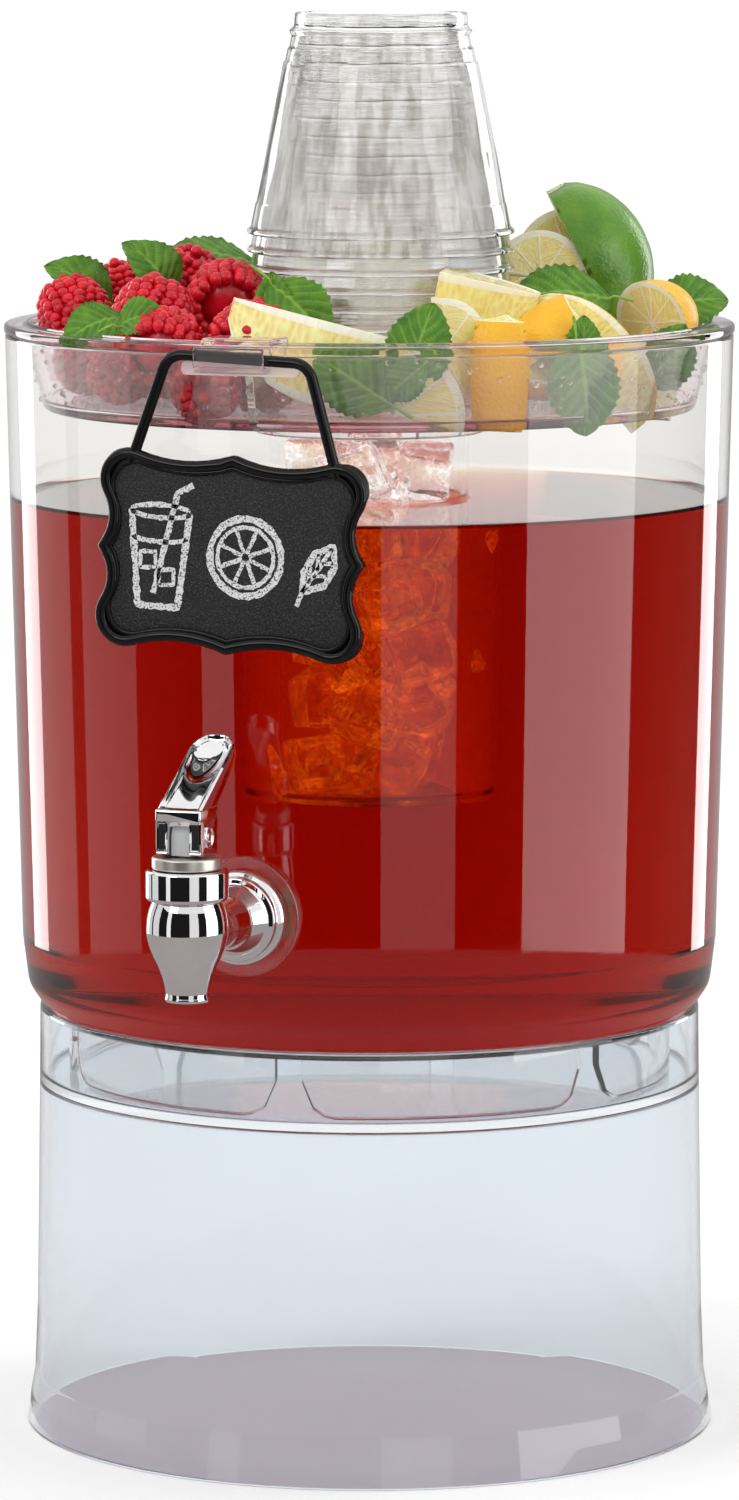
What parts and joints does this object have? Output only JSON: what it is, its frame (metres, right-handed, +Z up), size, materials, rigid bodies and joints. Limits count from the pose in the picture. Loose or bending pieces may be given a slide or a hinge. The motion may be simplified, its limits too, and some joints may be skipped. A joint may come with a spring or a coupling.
{
  "type": "beverage dispenser",
  "caption": "Clear round drink dispenser on a clear stand, with ice core, garnish tray, nested cups, hanging chalk sign and lever spigot.",
  "frame": {"origin": "middle of the footprint of the whole object, spigot included, on the surface it stands on; the drum's axis is 32.5 mm behind it", "axes": "+Z up, -Y towards the front, where the spigot and the sign are"},
  "size_m": [0.268, 0.333, 0.5215],
  "materials": {
    "stand_clear": "clear, faint lilac tint, polished",
    "drum_clear": "clear, polished",
    "tea": "clear deep red-brown liquid",
    "tray_clear": "clear, polished, beaded with water",
    "core_clear": "clear, polished",
    "cup_clear": "clear, thin, polished",
    "clip_clear": "clear, polished",
    "ice": "clear, wet",
    "raspberry": "soft, wet",
    "lemon": "waxy rind, wet flesh",
    "lime": "waxy rind, wet flesh",
    "sign_gloss": "glossy moulded",
    "chalkboard": "fine grained, matte",
    "chrome": "mirror plated",
    "satin": "satin plated",
    "stem_plastic": "moulded, satin",
    "silicone": "translucent",
    "seal_rubber": "matte",
    "nut_plastic": "moulded, satin",
    "spring_steel": "drawn wire, bright"
  },
  "bodies": {
    "stand": {"stand_shell": "stand_clear"},
    "drum": {"drum_tank": "drum_clear", "tea": "tea", "spigot_body": "chrome", "outer_gasket": "silicone", "inner_gasket": "silicone", "shank_nut": "nut_plastic", "bonnet_collar": "chrome", "bonnet_ring": "satin", "valve_spring": "spring_steel"},
    "tray": {"garnish_tray": "tray_clear", "raspberry_heap": "raspberry", "citrus_heap": "lemon", "lime_heap": "lime"},
    "core": {"ice_core": "core_clear", "ice_fill": "ice"},
    "cup_stack": {"cup_01": "cup_clear", "cup_02": "cup_clear", "cup_03": "cup_clear", "cup_04": "cup_clear", "cup_05": "cup_clear", "cup_06": "cup_clear", "cup_07": "cup_clear", "cup_08": "cup_clear", "cup_09": "cup_clear"},
    "top_cup": {"cup_10": "cup_clear"},
    "clip": {"sign_clip": "clip_clear"},
    "sign": {"sign_frame": "sign_gloss", "chalk_panel": "chalkboard"},
    "stem": {"valve_stem": "stem_plastic", "seat_seal": "seal_rubber"},
    "lever": {"tap_lever": "chrome", "pivot_pin": "spring_steel"}
  },
  "joints": [
    {"name": "drum_lift", "type": "slide", "parent": "stand", "child": "drum", "axis": [0, 0, 1], "range_m": [0, 0.06]},
    {"name": "tray_lift", "type": "slide", "parent": "drum", "child": "tray", "axis": [0, 0, 1], "range_m": [0, 0.18]},
    {"name": "core_twist", "type": "hinge", "parent": "tray", "child": "core", "pos_m": [0, 0.0325, 0.37], "axis": [0, 0, 1], "range_deg": [0, 40]},
    {"name": "cup_stack_lift", "type": "slide", "parent": "tray", "child": "cup_stack", "axis": [0, 0, 1], "range_m": [0, 0.1]},
    {"name": "top_cup_lift", "type": "slide", "parent": "cup_stack", "child": "top_cup", "axis": [0, 0, 1], "range_m": [0, 0.085]},
    {"name": "clip_lift", "type": "slide", "parent": "tray", "child": "clip", "axis": [0, 0, 1], "range_m": [0, 0.02]},
    {"name": "sign_swing", "type": "hinge", "parent": "clip", "child": "sign", "pos_m": [0.0022, -0.1075, 0.4045], "axis": [-0.999, 0, 0.0436], "range_deg": [-3, 75]},
    {"name": "stem_lift", "type": "slide", "parent": "drum", "child": "stem", "axis": [0, 0, 1], "range_m": [0, 0.004], "deforming": ["valve_spring"]},
    {"name": "lever_tilt", "type": "hinge", "parent": "stem", "child": "lever", "pos_m": [0, -0.152, 0.2422], "axis": [1, 0, 0], "range_deg": [0, 60], "stiffness_Nm_per_rad": 0.05, "springref_deg": -28.65}
  ],
  "couplings": [
    {"joint": "stem_lift", "follows": "lever_tilt", "m_per_rad": 0.0038}
  ]
}
